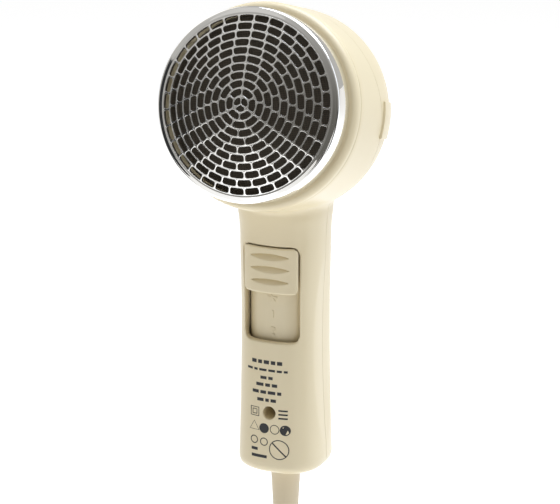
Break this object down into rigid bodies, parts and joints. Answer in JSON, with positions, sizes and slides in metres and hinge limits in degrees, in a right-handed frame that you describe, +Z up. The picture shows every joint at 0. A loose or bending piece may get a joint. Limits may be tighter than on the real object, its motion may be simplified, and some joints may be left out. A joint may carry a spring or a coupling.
{
  "type": "hair dryer",
  "caption": "Hand-held hair dryer with a domed chrome intake cap, a straight handle with a thumb slider, a tapered nozzle and a mains lead tied in a hank.",
  "frame": {"origin": "centre of the hand grip, on the handle's centre line", "axes": "+Z up the handle's centre line towards the barrel; +Y towards the air outlet; -Y towards the intake grille and the switch; +X to the right seen from the intake"},
  "size_m": [0.086, 0.1045, 0.5033],
  "materials": {
    "cream_plastic": "moulded cream ABS, satin gloss",
    "chrome": "bright chrome plating on the filter cap",
    "filter_mesh": "fine dark filter gauze",
    "black_plastic": "heat-resistant black plastic",
    "grey_plastic": "glass-filled grey plastic",
    "steel": "zinc-plated or plain steel",
    "brass": "plain brass",
    "copper_winding": "enamelled copper winding on steel laminations",
    "ferrite": "sintered ferrite magnet",
    "carbon": "pressed carbon brush",
    "cord_rubber": "beige rubbery PVC",
    "bush_rubber": "soft black rubber",
    "circuit_board": "green circuit board",
    "mica": "pressed mica board",
    "nichrome": "resistance wire",
    "ceramic": "white ceramic",
    "capacitor_case": "yellow capacitor case",
    "wire_sleeve": "red-brown wire insulation"
  },
  "bodies": {
    "housing": {"rear_shell": "cream_plastic", "front_shell": "cream_plastic", "side_trim_left": "cream_plastic", "side_trim_right": "cream_plastic", "switch_panel": "cream_plastic", "motor_end_cap": "black_plastic", "rectifier_bridge": "black_plastic", "outlet_ring": "black_plastic", "switch_body": "black_plastic", "cord_clamp": "black_plastic", "hank_tie": "black_plastic", "fan_duct": "grey_plastic", "handle_screw": "steel", "motor_can": "steel", "outlet_grille": "steel", "thermostat": "steel", "clamp_screw_left": "steel", "clamp_screw_right": "steel", "switch_terminal_1": "brass", "switch_terminal_2": "brass", "switch_terminal_3": "brass", "plug_pin_1": "brass", "plug_pin_2": "brass", "magnet_left": "ferrite", "magnet_right": "ferrite", "brush_left": "carbon", "brush_right": "carbon", "strain_relief": "cord_rubber", "inner_cable": "cord_rubber", "cord": "cord_rubber", "cord_tail": "cord_rubber", "cord_hank": "cord_rubber", "plug_body": "cord_rubber", "motor_bush_rear": "bush_rubber", "motor_bush_front": "bush_rubber", "rectifier_board": "circuit_board", "mica_cross": "mica", "mica_tube": "mica", "heater_coil_rear": "nichrome", "heater_coil_front": "nichrome", "thermal_fuse": "ceramic", "suppression_capacitor": "capacitor_case", "lead_live": "wire_sleeve", "lead_heater": "wire_sleeve"},
    "filter_cap": {"intake_grille": "chrome", "cap_ring": "cream_plastic", "intake_filter": "filter_mesh"},
    "fan": {"fan_impeller": "black_plastic", "motor_shaft": "steel", "armature": "copper_winding", "commutator": "brass"},
    "slider": {"slider_button": "cream_plastic", "slider_carrier": "black_plastic"}
  },
  "joints": [
    {"name": "slider_travel", "type": "slide", "parent": "housing", "child": "slider", "axis": [0, 0, -1], "range_m": [0, 0.0205]},
    {"name": "filter_cap_pull", "type": "slide", "parent": "housing", "child": "filter_cap", "axis": [0, -0.9659, 0.2588], "range_m": [0, 0.03]},
    {"name": "fan_spin", "type": "hinge", "parent": "housing", "child": "fan", "pos_m": [0, 0, 0.1], "axis": [0, 0.9659, -0.2588], "continuous": true}
  ]
}
